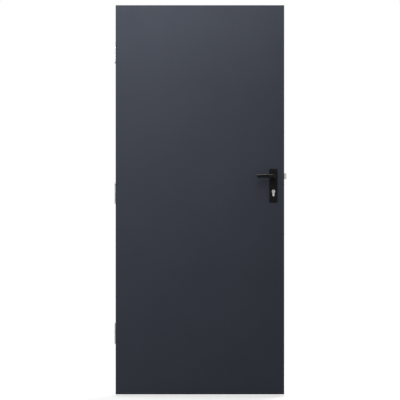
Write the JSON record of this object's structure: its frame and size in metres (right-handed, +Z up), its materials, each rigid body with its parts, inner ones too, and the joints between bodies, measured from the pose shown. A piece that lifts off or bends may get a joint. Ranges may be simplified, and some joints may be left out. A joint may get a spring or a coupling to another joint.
{
  "type": "steel utility door",
  "caption": "Flush sheet-steel door leaf on butt hinges, with a mortise lock, a profile cylinder and a short-plate lever handle on each side.",
  "frame": {"origin": "on the face of the middle hinge's frame flap that bears on the door frame, level with the middle of the leaf's thickness", "axes": "+X from the hinge edge to the lock edge, +Y from the push side to the pull side, +Z up"},
  "size_m": [0.88, 0.152, 1.985],
  "materials": {
    "painted_steel": "satin powder coat",
    "galvanised_steel": "galvanised",
    "core_board": "matt",
    "satin_steel": "brushed",
    "satin_nickel": "satin nickel",
    "plug_brass": "nickel plated",
    "black_handle": "satin black",
    "bearing_plastic": "matt black",
    "hinge_steel": "satin"
  },
  "bodies": {
    "frame_hinges": {"hinge_top_frame_flap": "hinge_steel", "hinge_top_pin": "hinge_steel", "hinge_middle_frame_flap": "hinge_steel", "hinge_middle_pin": "hinge_steel", "hinge_bottom_frame_flap": "hinge_steel", "hinge_bottom_pin": "hinge_steel"},
    "leaf": {"front_skin": "painted_steel", "back_skin": "painted_steel", "hinge_stile": "galvanised_steel", "lock_stile": "galvanised_steel", "top_channel": "galvanised_steel", "bottom_channel": "galvanised_steel", "lock_case": "galvanised_steel", "core": "core_board", "forend": "satin_steel", "dead_bolt": "satin_steel", "cylinder_body": "satin_nickel", "cylinder_plug_front": "plug_brass", "cylinder_plug_back": "plug_brass", "plate_front": "black_handle", "plate_back": "black_handle", "collar_front": "bearing_plastic", "collar_back": "bearing_plastic", "hinge_top_door_flap": "hinge_steel", "hinge_middle_door_flap": "hinge_steel", "hinge_bottom_door_flap": "hinge_steel"},
    "lever_set": {"lever_front": "black_handle", "lever_back": "black_handle", "spindle": "satin_steel", "lock_follower": "satin_steel"},
    "latch": {"latch_bolt": "satin_steel"}
  },
  "joints": [
    {"name": "door_swing", "type": "hinge", "parent": "frame_hinges", "child": "leaf", "pos_m": [0.004, 0.028, 0], "axis": [0, 0, 1], "range_deg": [0, 110]},
    {"name": "lever_turn", "type": "hinge", "parent": "leaf", "child": "lever_set", "pos_m": [0.81, 0, 0.0865], "axis": [0, -1, 0], "range_deg": [0, 35], "stiffness_Nm_per_rad": 1.2, "springref_deg": -34.38},
    {"name": "latch_slide", "type": "slide", "parent": "leaf", "child": "latch", "axis": [-1, 0, 0], "range_m": [0, 0.012]}
  ],
  "couplings": [
    {"joint": "latch_slide", "follows": "lever_turn", "m_per_rad": 0.019628}
  ]
}
